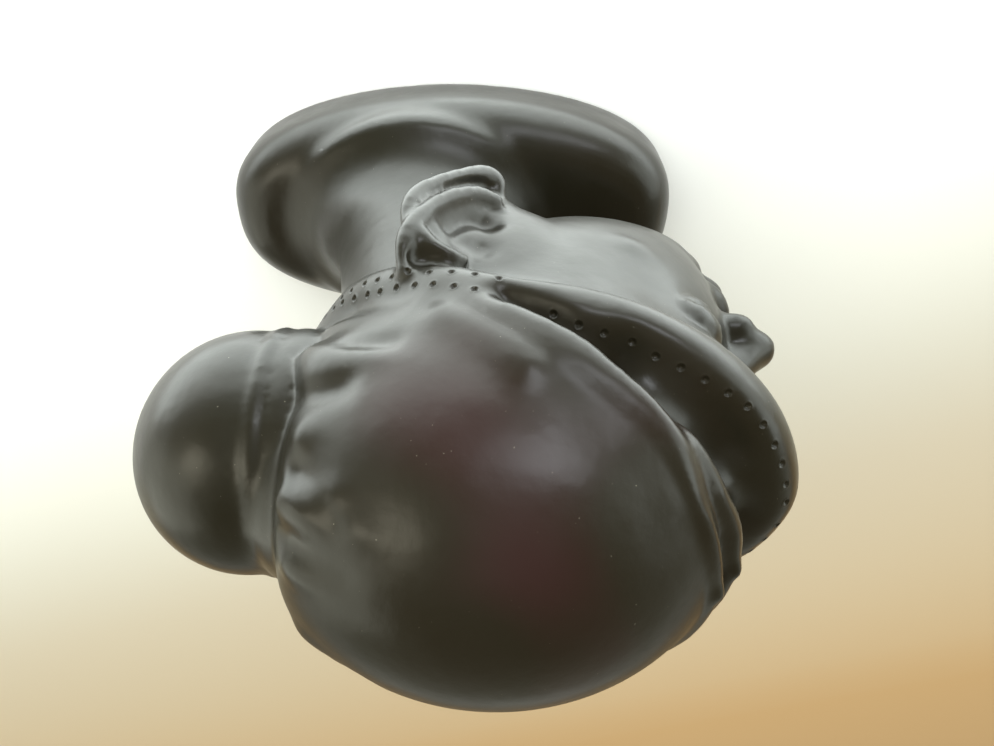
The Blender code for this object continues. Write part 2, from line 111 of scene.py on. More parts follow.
# The two rows of dots, as azimuths with turns in degrees from the border's outer side
UPPER_ROW = [(180, 20), (131, 20), (121, 26), (111, 18), (102, 2), (98, -3), (94, -14), (86, -22)]
LOWER_ROW = [
    (178, 34),
    (144, 38),
    (134, 56),
    (124, 70),
    (107, 55),
    (89, 52),
    (86, 66),
    (81, 82),
    (73, 94),
    (57, 94),
    (48, 80),
    (41, 70),
    (34, 58),
    (29, 54),
    (0, 54),
]

# The headscarf's dome over the hair, in head shares
DOME_CENTRE = Vector((0, 0.107, 0.663))
DOME_RADII = Vector((0.284, 0.357, 0.337))
KNOT_CENTRE = Vector((0, -0.205, 0.602))
KNOT_RADII = Vector((0.166, 0.172))
BUN_CENTRE = (0, -0.264, 0.603)
BUN_RADII = (0.188, 0.180, 0.193)

# The scarf's border, in head shares: an oval in plan that rises to the forehead and drops to the
# nape. Its band leans out from BORDER_HEART, with that way's rise reduced to BORDER_UPRIGHT, and
# swells to the brim from BRIM_END degrees of azimuth to the front
BORDER_MIDDLE = 0.115
BORDER_HEIGHT = 0.600
BORDER_HEART = (0, 0.11, 0.60)
BORDER_UPRIGHT = 0.25
BORDER_SIDE = 0.283
BORDER_FRONT = 0.364
BORDER_BACK = 0.300
BORDER_RISE = 0.065
BORDER_DROP = 0.214
BORDER_BEND = 1.1
BAND_HALF_WIDTH = 0.036
BAND_HALF_THICK = 0.022
BRIM_MORE_WIDTH = 0.049
BRIM_MORE_THICK = 0.058
BRIM_BEND = 1.2
BRIM_END = 84

# Heights of the crown's folds above the dome, in head shares
LONG_FOLD_LIFT = -0.016
SHORT_FOLD_LIFT = -0.006
TROUGH_LIFT = 0.010

# Pleats, in shares of their full thickness: how thick they start, what they gain over the first
# 1 / PLEAT_FILL_RATE of their length, what they lose by their end, and how deep they lie
PLEAT_START = 0.72
PLEAT_FILL = 0.28
PLEAT_FILL_RATE = 4
PLEAT_TAPER = 0.80
PLEAT_TAPER_BEND = 1.6
PLEAT_SINK = 0.64
PLEAT_SINK_MORE = 0.34

# The ring where the pleats step down to the tie, in radii of the knot
STEP_SPREAD = 1.12
STEP_SPREAD_TOP = 0.44
STEP_BEND = 1.2
STEP_INSET = 0.17

# Eyeballs and lids, in head shares and degrees. A lid has its reach and its edge's slope
EYE_SIDE = 0.112
EYE_FRONT = 0.408
EYE_UP = 0.445
EYE_RADIUS = 0.060
EYE_SPLAY = 8
UPPER_LID = (0.070, 15)
LOWER_LID = (0.067, -22)

# The floor, with painted light: its tints run from a warm end, darker as painted shade, to a white
# end, bright as painted light, by distance along FLOOR_WAY
FLOOR_SIZE = 6.0
FLOOR_ROUGHNESS = 0.6
FLOOR_WAY = (1.0, 0.35, 0.0)
FLOOR_SHADED_END = -0.58
FLOOR_LIT_END = 0.08
FLOOR_LIGHT_AND_SHADE_TINTS = [
    (0.03, (0.64, 0.42, 0.20)),
    (0.12, (0.66, 0.48, 0.27)),
    (0.30, (0.65, 0.54, 0.37)),
    (0.47, (0.64, 0.56, 0.42)),
    (0.60, (0.70, 0.68, 0.58)),
    (0.72, (0.85, 0.85, 0.78)),
    (0.82, (0.93, 0.94, 0.90)),
    (0.92, (0.97, 0.98, 0.97)),
]

# The surroundings' tints by height, from straight below to straight above
SKY_TINTS = [
    (0.0, (0.88, 0.93, 0.92)),
    (0.50, (0.54, 0.56, 0.50)),
    (0.64, (0.33, 0.32, 0.25)),
    (0.85, (0.16, 0.13, 0.095)),
    (1.0, (0.10, 0.065, 0.045)),
]

# The glaze's index, its roughness over a noise, and the tint of its rare specks
GLAZE_IOR = 1.5
GLOSS_RANGE = [(0.3, (0.28, 0.28, 0.28)), (0.7, (0.37, 0.37, 0.37))]
SPECK_TINTS = [(0.80, (0.0, 0.0, 0.0)), (0.82, (0.14, 0.13, 0.10))]

# The glaze's clouds: how far their noise is moved, to bring the reddest one onto the crown, the
# heights between which they grow warmer, the share of warmth at the lower one, and their tints
CLOUD_SHIFT = (0.012, 0.008, -0.012)
CLOUD_COOL_BELOW = 0.11
CLOUD_WARM_ABOVE = 0.21
CLOUD_LOW_SHARE = 0.74
CLOUD_TINTS = [
    (0.36, (0.0105, 0.0095, 0.0050)),
    (0.54, (0.0120, 0.0098, 0.0052)),
    (0.65, (0.0200, 0.0075, 0.0060)),
]

# Noises of the glaze, each by its scale and its detail
CLOUD_NOISE = (10.0, 2.0)
SPECK_NOISE = (1500.0, 1.0)
GLOSS_NOISE = (45.0, 4.0)
RIPPLE_NOISE = (95.0, 2.0)
GRAIN_NOISE = (900.0, 3.0)

# The glaze's relief, by strength and height
RIPPLE_RELIEF = (0.35, 0.0006)
GRAIN_RELIEF = (0.10, 0.0002)

# Lamps: name, place, target, sides, radiance, colour, and whether the glaze mirrors them
CROWN = (0.0, 0.0, 0.20)
LAMPS = [
    ("left_box", (1.09, -0.35, 0.57), CROWN, (0.70, 0.26), 5.5, (0.90, 0.94, 1.0), True),
    ("near_glow", (0.18, 0.0, 0.004), (0.18, 0.0, 1.0), (0.24, 1.6), 3.1, (0.91, 1.0, 0.98), True),
    ("far_glow", (0.79, 0.0, 0.004), (0.79, 0.0, 1.0), (1.0, 3.2), 1.4, (0.91, 1.0, 0.97), True),
    ("window", (0.51, 0.88, 1.0), CROWN, (0.50, 0.50), 3.6, (1.0, 0.95, 0.76), True),
    ("side_glow", (-0.3, 1.3, 0.7), CROWN, (1.3, 1.3), 1.3, (0.96, 0.98, 0.84), True),
    ("front_glow", (0.4, -1.3, 0.35), CROWN, (1.0, 0.8), 1.9, (0.92, 1.0, 0.96), True),
    ("overhead", (0.6, 0.1, 1.4), (-0.1, 0.0, 0.0), (1.4, 1.4), 4.9, (0.96, 1.0, 0.99), False),
]

# The camera over the figure's left, with the figure's foot at the top of the picture
CAMERA_PLACE = Vector((0.1519, -0.0200, 0.3571))
CAMERA_AHEAD = Vector((-0.5990, 0.0, -0.8007))
CAMERA_RIGHT = Vector((0.0, -1.0, 0.0))
PICTURE_WIDTH = 994
LENS_PIXELS = 770
SENSOR_WIDTH = 36.0
CLIP_START = 0.01


# Places on the figure


def head_point(side, front, up):
    """World place of a point given in shares of the head's height."""
    chin_level = PLINTH_HEIGHT + NECK_LENGTH
    return Vector((side * HEAD_HEIGHT, -front * HEAD_HEIGHT, chin_level + up * HEAD_HEIGHT))


def dome_point(azimuth, elevation, lift=0.0):
    """Shares of a point on the dome, azimuth 0 at the forehead and 90 at the figure's left."""
    a, e = math.radians(azimuth), math.radians(elevation)
    ray = Vector((math.cos(e) * math.sin(a), math.cos(e) * math.cos(a), math.sin(e)))
    reach = 1 / Vector([ray[i] / DOME_RADII[i] for i in range(3)]).length
    return DOME_CENTRE + ray * (reach + lift)


def smooth_path(points, steps=8):
    """Points along a Catmull-Rom curve through the given ones. Works on any number of columns."""
    p = np.array([tuple(q) for q in points], float)
    p = np.vstack([2 * p[0] - p[1], p, 2 * p[-1] - p[-2]])
    t = np.linspace(0, 1, steps, endpoint=False)[:, None]
    runs = []
    for a, b, c, d in zip(p, p[1:], p[2:], p[3:]):
        bend = (2 * a - 5 * b + 4 * c - d) * t**2 + (3 * b - a - 3 * c + d) * t**3
        runs.append(b + 0.5 * ((c - a) * t + bend))
    return np.vstack(runs + [p[-2:-1]])


# Clay forms


def new_object(name, bm):
    """Puts a mesh under construction into the scene, as an object."""
    mesh = bpy.data.meshes.new(name)
    bm.to_mesh(mesh)
    bm.free()
    obj = bpy.data.objects.new(name, mesh)
    bpy.context.scene.collection.objects.link(obj)
    return obj


def ball(centre, radii, turn=0.0):
    """An ellipsoid in head shares, turned by degrees about the up axis."""
    bm = bmesh.new()
    bmesh.ops.create_uvsphere(
        bm, u_segments=BALL_SIDES, v_segments=BALL_LEVELS, radius=HEAD_HEIGHT
    )
    place = (
        Matrix.Translation(head_point(*centre))
        @ Matrix.Rotation(math.radians(turn), 4, "Z")
        @ Matrix.Diagonal((*radii, 1.0))
    )
    bmesh.ops.transform(bm, matrix=place, verts=bm.verts)
    return new_object("ball", bm)


def loft(sections, closed=False):
    """A skin over rings of points. An open one is capped at both ends."""
    bm = bmesh.new()
    rings = [[bm.verts.new(point) for point in section] for section in sections]
    pairs = list(zip(rings, rings[1:]))
    if closed:
        pairs.append((rings[-1], rings[0]))
    for low, high in pairs:
        for i in range(len(low)):
            j = (i + 1) % len(low)
            bm.faces.new((low[i], low[j], high[j], high[i]))
    if not closed:
        bm.faces.new(list(reversed(rings[0])))
        bm.faces.new(rings[-1])
    bmesh.ops.recalc_face_normals(bm, faces=bm.faces)
    return new_object("loft", bm)


def ring_angles(count):
    """Evenly spaced angles round a full turn, in radians."""
    return np.linspace(0, 2 * math.pi, count, endpoint=False)


def roll_of_clay(points, radii, middle=None, flat=1.0, closed=False):
    """A coil through points in head shares, as thick as the radii. Its thickness away from the
    middle, a point in shares, is the radius times flat."""
    if closed:
        points = list(points) + list(points[:1])
        radii = list(radii) + list(radii[:1])
    path = smooth_path([(*point, radius) for point, radius in zip(points, radii)])
    if closed:
        path = path[:-1]
    places = [head_point(*p[:3]) for p in path]
    heart = head_point(*(middle or DOME_CENTRE))
    last = len(path) - 1
    sections = []
    for i, place in enumerate(places):
        if closed:
            along = places[(i + 1) % len(places)] - places[i - 1]
        else:
            along = places[min(i + 1, last)] - places[max(i - 1, 0)]
        along.normalize()
        out = place - heart
        out = (out - along * out.dot(along)).normalized()
        across = out.cross(along).normalized()
        size = path[i][3] * HEAD_HEIGHT
        sections.append(
            [
                place + across * size * math.sin(a) + out * size * flat * math.cos(a)
                for a in ring_angles(ROLL_SIDES)
            ]
        )
    return loft(sections, closed)


def fuse(parts, blend, grain=CLAY_GRAIN):
    """Joins overlapping forms into one skin, and softens its creases over the blend's width."""
    bpy.ops.object.select_all(action="DESELECT")
    for part in parts:
        part.select_set(True)
    bpy.context.view_layer.objects.active = parts[0]
    bpy.ops.object.join()
    joined = bpy.context.view_layer.objects.active
    joined.name = "bust"
    joined.data.name = "bust"
    skin = joined.modifiers.new("Skin", "REMESH")
    skin.mode = "VOXEL"
    skin.voxel_size = grain
    soften(joined, blend, grain)
    return joined


def soften(obj, blend, grain):
    """Rounds the skin over the blend's width, which takes more passes where its grain is finer."""
    smooth = obj.modifiers.new("Soften", "SMOOTH")
    smooth.factor = SMOOTHING
    smooth.iterations = max(1, round((blend / grain) ** 2))
    apply_modifiers(obj)


def thin(obj):
    """Thins the skin out to SKIN_TRIANGLES."""
    count = sum(len(face.vertices) - 2 for face in obj.data.polygons)
    if count > SKIN_TRIANGLES:
        fewer = obj.modifiers.new("Thin", "DECIMATE")
        fewer.ratio = SKIN_TRIANGLES / count
        apply_modifiers(obj)


def apply_modifiers(obj):
    """Turns what the modifiers make of a mesh into the mesh itself."""
    graph = bpy.context.evaluated_depsgraph_get()
    mesh = bpy.data.meshes.new_from_object(obj.evaluated_get(graph))
    obj.modifiers.clear()
    old = obj.data
    obj.data = mesh
    bpy.data.meshes.remove(old)


def cut_flat(bm, way, gap=0.0):
    """Cuts off what lies beyond the origin in a direction, and closes the cut."""
    everything = bm.verts[:] + bm.edges[:] + bm.faces[:]
    cut = bmesh.ops.bisect_plane(
        bm, geom=everything, dist=gap, plane_co=(0, 0, 0), plane_no=way, clear_outer=True
    )
    rim = [edge for edge in cut["geom_cut"] if isinstance(edge, bmesh.types.BMEdge)]
    bmesh.ops.contextual_create(bm, geom=rim)


def draw_strokes(obj, strokes):
    """Moves the skin along its normals near each stroke. A stroke is a path in head shares, its
    width and its height in shares, below 0 for a groove."""
    count = len(obj.data.vertices)
    places = np.empty(count * 3, np.float32)
    normals = np.empty(count * 3, np.float32)
    obj.data.vertices.foreach_get("co", places)
    obj.data.vertices.foreach_get("normal", normals)
    places = places.reshape(-1, 3)
    normals = normals.reshape(-1, 3)
    moves = np.zeros(count)
    for points, width, height in strokes:
        path = np.array([head_point(*p) for p in smooth_path(points, STROKE_STEPS)])
        reach = STROKE_REACH * width * HEAD_HEIGHT
        inside = np.all((places > path.min(0) - reach) & (places < path.max(0) + reach), axis=1)
        near = np.flatnonzero(inside)
        gaps = np.full(len(near), np.inf)
        for a, b in zip(path, path[1:]):
            run = b - a
            share = np.clip((places[near] - a) @ run / max(run @ run, 1e-12), 0, 1)
            gaps = np.minimum(gaps, np.linalg.norm(places[near] - a - share[:, None] * run, axis=1))
        fall = np.exp(-((gaps / (width * HEAD_HEIGHT)) ** 2))
        moves[near] += height * HEAD_HEIGHT * fall
    places += normals * moves[:, None]
    obj.data.vertices.foreach_set("co", places.ravel())
    obj.data.update()


def both_sides(make):
    """What make builds for the figure's left, and again for its right."""
    return make(1) + make(-1)


# Plinth and neck


def plinth():
    """The oval slab, with a wide round on its upper edge and a small one at its foot."""
    angles = ring_angles(PLINTH_SIDES)
    blunt_ends = 0.74
    arched_sides = 1.04
    outline_x = np.sign(np.cos(angles)) * np.abs(np.cos(angles)) ** blunt_ends
    outline_y = np.sign(np.sin(angles)) * np.abs(np.sin(angles)) ** arched_sides
    levels = [(PLINTH_FOOT_EDGE, -CUT_DEPTH)]
    for turn in np.linspace(0, math.pi / 2, 7):
        inset = PLINTH_FOOT_EDGE * (1 - math.sin(turn))
        levels.append((inset, PLINTH_FOOT_EDGE * (1 - math.cos(turn))))
    for turn in np.linspace(0, math.pi / 2, 13):
        inset = PLINTH_TOP_EDGE * (1 - math.cos(turn))
        levels.append((inset, PLINTH_HEIGHT - PLINTH_TOP_EDGE * (1 - math.sin(turn))))
    sections = []
    for inset, z in levels:
        x = outline_x * (PLINTH_WIDTH / 2 - inset)
        y = outline_y * (PLINTH_LENGTH / 2 - inset)
        sections.append(np.stack([x, y, np.full_like(x, z)], axis=1))
    return loft(sections)


def neck():
    """An oval column that leans forward and flares into the plinth's top."""
    foot = -(PLINTH_HEIGHT * 0.5 + NECK_LENGTH) / HEAD_HEIGHT
    top = 0.45
    half_width = 0.152
    half_depth = 0.174
    spread_width = 0.110
    spread_depth = 0.143
    foot_front = -0.075
    lean = 0.16
    lean_from = -0.1
    sections = []
    for up in np.linspace(foot, top, NECK_LEVELS):
        above_plinth = max(up * HEAD_HEIGHT + NECK_LENGTH, 0.0)
        flare = math.exp(-above_plinth / NECK_FLARE)
        wide = half_width + spread_width * flare
        deep = half_depth + spread_depth * flare
        front = foot_front + lean * max(up - lean_from, 0.0)
        sections.append(
            [
                head_point(wide * math.cos(a), front + deep * math.sin(a), up)
                for a in ring_angles(NECK_SIDES)
            ]
        )
    return loft(sections)


# Head and face


def head_form():
    """The bare head as a stack of plan sections, from under the chin to the skull. Its rows have
    the height up, the half width, the front and the back."""
    middle = 0.12
    set_back = 0.02
    rows = [
        (-0.012, 0.050, 0.450, 0.300),
        (0.020, 0.098, 0.510, 0.220),
        (0.075, 0.138, 0.532, 0.140),
        (0.140, 0.180, 0.524, 0.050),
        (0.210, 0.210, 0.532, -0.020),
        (0.300, 0.234, 0.528, -0.090),
        (0.400, 0.246, 0.518, -0.150),
        (0.480, 0.249, 0.516, -0.180),
        (0.550, 0.250, 0.528, -0.200),
        (0.640, 0.240, 0.505, -0.180),
        (0.720, 0.200, 0.420, -0.120),
    ]
    sections = []
    for up, half_width, front, back in smooth_path(rows, 4):
        centre = min(max(middle, (front + back) / 2 - set_back), front)
        sections.append(
            [
                head_point(
                    half_width * math.sin(a),
                    centre + (front - centre if math.cos(a) > 0 else centre - back) * math.cos(a),
                    up,
                )
                for a in ring_angles(HEAD_SIDES)
            ]
        )
    return loft(sections)


def occiput():
    """The back of the skull."""
    return ball((0, -0.01, 0.44), (0.215, 0.215, 0.215))


def cheekbones(side):
    """The fullness of the cheek."""
    return [ball((side * 0.118, 0.305, 0.328), (0.110, 0.112, 0.085))]


def nose():
    """The nose's bridge, tip and wings."""
    bridge = roll_of_clay(
        [(0, 0.470, 0.500), (0, 0.492, 0.445), (0, 0.532, 0.390), (0, 0.570, 0.335)],
        [0.030, 0.027, 0.032, 0.042],
        middle=(0, 0.1, 0.4),
    )
    tip = ball((0, 0.578, 0.330), (0.042, 0.046, 0.038))
    wings = [ball((side * 0.042, 0.540, 0.322), (0.032, 0.042, 0.030)) for side in (1, -1)]
    return [bridge, tip, *wings]


def lips():
    """The closed lips."""
    upper = roll_of_clay(
        [
            (-0.086, 0.486, 0.203),
            (-0.050, 0.524, 0.216),
            (-0.013, 0.540, 0.221),
            (0.013, 0.540, 0.221),
            (0.050, 0.524, 0.216),
            (0.086, 0.486, 0.203),
        ],
        [0.008, 0.020, 0.025, 0.025, 0.020, 0.008],
        middle=(0, 0.3, 0.2),
    )
    lower = roll_of_clay(
        [
            (-0.078, 0.488, 0.193),
            (-0.040, 0.526, 0.178),
            (0, 0.538, 0.174),
            (0.040, 0.526, 0.178),
            (0.078, 0.488, 0.193),
        ],
        [0.008, 0.024, 0.028, 0.024, 0.008],
        middle=(0, 0.3, 0.2),
    )
    return [upper, lower]


def chin():
    """The ball of the chin."""
    return ball((0, 0.470, 0.072), (0.072, 0.074, 0.060))


def eye_centre(side):
    """Shares of the middle of an eyeball."""
    return Vector((side * EYE_SIDE, EYE_FRONT, EYE_UP))


def eye_point(side, across, rise):
    """A place on an eyeball, by degrees outward from straight ahead and degrees of rise."""
    a, r = math.radians(across + EYE_SPLAY), math.radians(rise)
    ray = Vector((side * math.sin(a) * math.cos(r), math.cos(a) * math.cos(r), math.sin(r)))
    return eye_centre(side) + ray * EYE_RADIUS


def lid(side, reach, slope):
    """Half a shell over the eyeball, its edge at a slope in degrees, below 0 for the lower lid."""
    bm = bmesh.new()
    bmesh.ops.create_uvsphere(
        bm, u_segments=BALL_SIDES, v_segments=BALL_LEVELS, radius=reach * HEAD_HEIGHT
    )
    tip = math.radians(slope)
    outward = Vector((0, math.sin(tip), math.cos(tip)))
    if slope < 0:
        outward = -outward
    cut_flat(bm, -outward)
    bmesh.ops.translate(bm, vec=head_point(*eye_centre(side)), verts=bm.verts)
    return new_object("lid", bm)


def eye(side):
    """An eyeball between its lids."""
    globe = ball(eye_centre(side), (EYE_RADIUS, EYE_RADIUS, EYE_RADIUS))
    return [globe, lid(side, *UPPER_LID), lid(side, *LOWER_LID)]


def ear(side):
    """The part of an ear that the scarf leaves bare: its plate, folded rim, lobe and inner arc."""

    def at(out, front, up):
        return (side * out, front, up)

    heart = at(0.15, 0.05, 0.34)
    core = ball(at(0.206, 0.036, 0.345), (0.052, 0.080, 0.170), turn=side * 15)
    plate = roll_of_clay(
        [
            at(0.258, 0.012, 0.54),
            at(0.266, 0.022, 0.44),
            at(0.264, 0.044, 0.345),
            at(0.256, 0.070, 0.260),
            at(0.248, 0.086, 0.205),
        ],
        [0.040, 0.050, 0.058, 0.048, 0.030],
        at(0.15, -0.02, 0.34),
        flat=0.42,
    )
    rim = roll_of_clay(
        [
            at(0.294, -0.028, 0.430),
            at(0.307, -0.028, 0.385),
            at(0.309, -0.016, 0.335),
            at(0.302, 0.016, 0.278),
            at(0.290, 0.050, 0.226),
            at(0.277, 0.082, 0.186),
            at(0.262, 0.102, 0.178),
            at(0.248, 0.110, 0.205),
        ],
        [0.0100, 0.0150, 0.0165, 0.0170, 0.0180, 0.0205, 0.0210, 0.0120],
        heart,
        flat=1.1,
    )
    arc = roll_of_clay(
        [
            at(0.268, -0.022, 0.530),
            at(0.297, -0.026, 0.475),
            at(0.305, -0.013, 0.424),
            at(0.302, 0.013, 0.361),
            at(0.294, 0.045, 0.311),
            at(0.281, 0.079, 0.279),
            at(0.260, 0.114, 0.263),
        ],
        [0.0145, 0.0165, 0.0165, 0.0165, 0.0165, 0.0165, 0.0130],
        heart,
        flat=1.05,
    )
    spur = roll_of_clay(
        [
            at(0.299, -0.008, 0.452),
            at(0.289, 0.010, 0.474),
            at(0.278, 0.034, 0.480),
            at(0.262, 0.064, 0.476),
        ],
        [0.0150, 0.0145, 0.0135, 0.0100],
        heart,
    )
    return [core, plate, rim, arc, spur]


def ear_roots(side):
    """The swell of the cheek and jaw that carries the ear."""
    return [
        ball((side * 0.206, 0.122, 0.360), (0.052, 0.110, 0.170)),
        ball((side * 0.204, 0.082, 0.250), (0.062, 0.078, 0.110), turn=-side * 14),
    ]


def socket_strokes(side):
    """The hollow round the eye and the one at the temple."""
    hollow = ([(side * 0.075, 0.500, 0.450), (side * 0.150, 0.480, 0.450)], 0.048, -0.036)
    temple = ([(side * 0.225, 0.370, 0.470), (side * 0.215, 0.385, 0.520)], 0.060, -0.010)
    return [hollow, temple]


def face_strokes(side):
    """The brow, the lid's crease, the nostril and the corner of the mouth."""
    brow = (
        [(side * 0.045, 0.520, 0.512), (side * 0.115, 0.505, 0.535), (side * 0.190, 0.440, 0.505)],
        0.026,
        0.013,
    )
    lid_crease = ([eye_point(side, across, 42) for across in (-40, 0, 40)], 0.010, -0.008)
    nostril = ([(side * 0.022, 0.565, 0.296), (side * 0.034, 0.545, 0.298)], 0.010, -0.012)
    mouth_corner = ([(side * 0.090, 0.497, 0.198), (side * 0.096, 0.490, 0.200)], 0.014, -0.008)
    return [brow, lid_crease, nostril, mouth_corner]


def mouth_strokes():
    """The line between the lips, the groove above them and the hollow below."""
    parting = (
        [
            (-0.088, 0.488, 0.198),
            (-0.045, 0.543, 0.198),
            (0, 0.560, 0.196),
            (0.045, 0.543, 0.198),
            (0.088, 0.488, 0.198),
        ],
        0.0075,
        -0.012,
    )
    philtrum = ([(0, 0.560, 0.272), (0, 0.565, 0.238)], 0.009, -0.006)
    under_lip = ([(-0.035, 0.535, 0.138), (0.035, 0.535, 0.138)], 0.024, -0.010)
    return [parting, philtrum, under_lip]


def ear_strokes(side):
    """Hollows of the ear: the bowl, the pocket by the scarf and the groove along the rim."""
    bowl = (
        [(side * 0.290, 0.040, 0.396), (side * 0.280, 0.066, 0.352), (side * 0.268, 0.094, 0.332)],
        0.019,
        -0.020,
    )
    hollow = ([(side * 0.280, 0.050, 0.430), (side * 0.266, 0.088, 0.415)], 0.022, -0.009)
    pocket = ([(side * 0.288, -0.008, 0.506), (side * 0.274, 0.014, 0.496)], 0.016, -0.015)
    groove = (
        [
            (side * 0.308, -0.014, 0.388),
            (side * 0.305, 0.004, 0.332),
            (side * 0.298, 0.034, 0.278),
            (side * 0.288, 0.064, 0.238),
            (side * 0.276, 0.090, 0.216),
        ],
        0.0090,
        -0.012,
    )
    return [bowl, hollow, pocket, groove]


# Headscarf


def border_line(azimuth):
    """Shares of the middle of the scarf's border, which rises from the nape to the forehead."""
    a = math.radians(azimuth)
    depth = BORDER_FRONT if math.cos(a) > 0 else BORDER_BACK
    rise = BORDER_RISE * max(math.cos(a), 0) ** BORDER_BEND
    drop = BORDER_DROP * max(-math.cos(a), 0) ** BORDER_BEND
    side = BORDER_SIDE * math.sin(a)
    front = BORDER_MIDDLE + depth * math.cos(a)
    return Vector((side, front, BORDER_HEIGHT + rise - drop))


def border_point(azimuth, turn):
    """World place on the border's skin, turned by radians from its outer side to its upper edge."""
    brim = max(0.0, 1 - abs(azimuth) / BRIM_END)
    half_width = (BAND_HALF_WIDTH + BRIM_MORE_WIDTH * brim) * HEAD_HEIGHT
    half_thick = (BAND_HALF_THICK + BRIM_MORE_THICK * brim**BRIM_BEND) * HEAD_HEIGHT
    place = head_point(*border_line(azimuth))
    along = head_point(*border_line(azimuth + 2)) - head_point(*border_line(azimuth - 2))
    along.normalize()
    out = place - head_point(*BORDER_HEART)
    out.z *= BORDER_UPRIGHT
    out = (out - along * out.dot(along)).normalized()
    rise = out.cross(along).normalized()
    return place + rise * math.sin(turn) * half_width + out * math.cos(turn) * half_thick


def border():
    """The scarf's edge: a flat band at nape and ears that swells to a rolled brim in front."""
    rings = [
        [border_point(azimuth, turn) for turn in ring_angles(BORDER_SIDES)]
        for azimuth in np.arange(-180, 180, BORDER_STEP)
    ]
    return loft(rings, closed=True)


def ridge(course, lift):
    """A rolled fold round the crown. Its course runs from the forehead to one side, as rows of
    azimuth, elevation and radius, and the other side mirrors it."""
    left = [tuple(row) for row in smooth_path(course, 6)]
    right = [(-azimuth, rise, radius) for azimuth, rise, radius in left[:0:-1]]
    points = [dome_point(azimuth, rise, lift) for azimuth, rise, _ in right + left]
    return roll_of_clay(points, [radius for _, _, radius in right + left])


def crown_ridges():
    """The folded edges of the scarf's crown: a long one to the nape, and a short one below it."""
    long_fold = [
        (0, 35, 0.022),
        (12, 34.5, 0.024),
        (23, 32.5, 0.027),
        (32, 29, 0.030),
        (40, 25.5, 0.034),
        (46, 22.5, 0.037),
        (58, 17.5, 0.040),
        (68, 12, 0.041),
        (75, 7, 0.040),
        (84, -1, 0.037),
        (95, -11, 0.033),
        (109, -21, 0.029),
        (123, -27, 0.026),
        (146, -34, 0.014),
    ]
    short_fold = [
        (0, 26, 0.020),
        (12, 26, 0.021),
        (21, 25.5, 0.022),
        (28, 24, 0.022),
        (36, 22, 0.020),
        (48, 19, 0.014),
    ]
    return [ridge(long_fold, LONG_FOLD_LIFT), ridge(short_fold, SHORT_FOLD_LIFT)]


def on_dome(side, course, width, height, lift=0.0):
    """A stroke over the dome, from a course of azimuth and elevation at the figure's left."""
    return ([dome_point(side * azimuth, rise, lift) for azimuth, rise in course], width, height)


def trough_strokes(side):
    """The valley between the brim and the folds of the crown, and the brim's crisp upper edge."""
    wide = [(56, 7), (46, 11.5), (38, 13.5), (30, 15), (22, 16)]
    middle = [(26, 15.5), (18, 16.5), (9, 17), (0, 17)]
    narrow = [(88, -9), (78, -2), (70, 3), (62, 6), (54, 9)]
    return [
        on_dome(side, wide, 0.038, -0.036, TROUGH_LIFT),
        on_dome(side, middle, 0.038, -0.016, TROUGH_LIFT),
        on_dome(side, narrow, 0.018, -0.036, TROUGH_LIFT),
    ]


def bun():
    """The hair under the scarf's end, behind the tie."""
    return ball(BUN_CENTRE, BUN_RADII)


def knot_point(angle, back, spread):
    """A place on the ring where the scarf is tied, angle 0 at the top, 90 at the figure's left. It
    lies further back by a share of the head, and further out by a share of the ring."""
    a = math.radians(angle)
    side = KNOT_RADII.x * spread * math.sin(a)
    up = KNOT_RADII.y * spread * math.cos(a)
    return KNOT_CENTRE + Vector((side, -back, up))


def tie():
    """The flat band wound round the root of the bun."""
    angles = range(0, 360, 20)
    band = [knot_point(angle, -0.022, 1.02) for angle in angles]
    edge = [knot_point(angle, 0.016, 1.07) for angle in angles]
    band_radius = 0.036
    edge_radius = 0.014
    heart = tuple(KNOT_CENTRE)
    return [
        roll_of_clay(band, [band_radius] * len(band), heart, flat=0.55, closed=True),
        roll_of_clay(edge, [edge_radius] * len(edge), heart, closed=True),
    ]


def dome_front(side, up):
    """How far to the front the dome's back half is, at a side and a height."""
    reach = 1 - (side / DOME_RADII.x) ** 2 - ((up - DOME_CENTRE.z) / DOME_RADII.z) ** 2
    return DOME_CENTRE.y - DOME_RADII.y * math.sqrt(reach)


def step_spread(angle):
    """Spread of the ring where the pleats step down to the tie. It is widest over the top."""
    top = max(math.cos(math.radians(angle)), 0) ** STEP_BEND
    return STEP_SPREAD + STEP_SPREAD_TOP * top - STEP_INSET


def gathers():
    """Pleats over the back of the dome, thick where the tie draws them in. Each row has its course
    as azimuth and elevation on the dome, and its thickness."""
    rows = [
        ([(148, -10), (136, 2), (122, 9), (106, 15)], 0.068),
        ([(148, 20), (140, 22), (130, 25)], 0.046),
        ([(142, 36), (136, 42), (129, 47)], 0.036),
        ([(156, 28), (148, 37), (140, 46), (131, 53), (120, 58)], 0.058),
        ([(167, 36), (163, 47), (157, 56)], 0.036),
        ([(151, -25), (137, -20), (122, -11)], 0.046),
    ]
    pleats = []
    for side in (1, -1):
        for course, size in rows:
            points = []
            radii = []
            path = smooth_path(course, 4)
            for share, (azimuth, rise) in zip(np.linspace(0, 1, len(path)), path):
                full = PLEAT_START + PLEAT_FILL * min(share * PLEAT_FILL_RATE, 1)
                radius = size * full * (1 - PLEAT_TAPER * share**PLEAT_TAPER_BEND)
                sink = radius * (PLEAT_SINK + PLEAT_SINK_MORE * share)
                points.append(dome_point(side * azimuth, rise, -sink))
                radii.append(radius)
            pleats.append(roll_of_clay(points, radii))
    return pleats


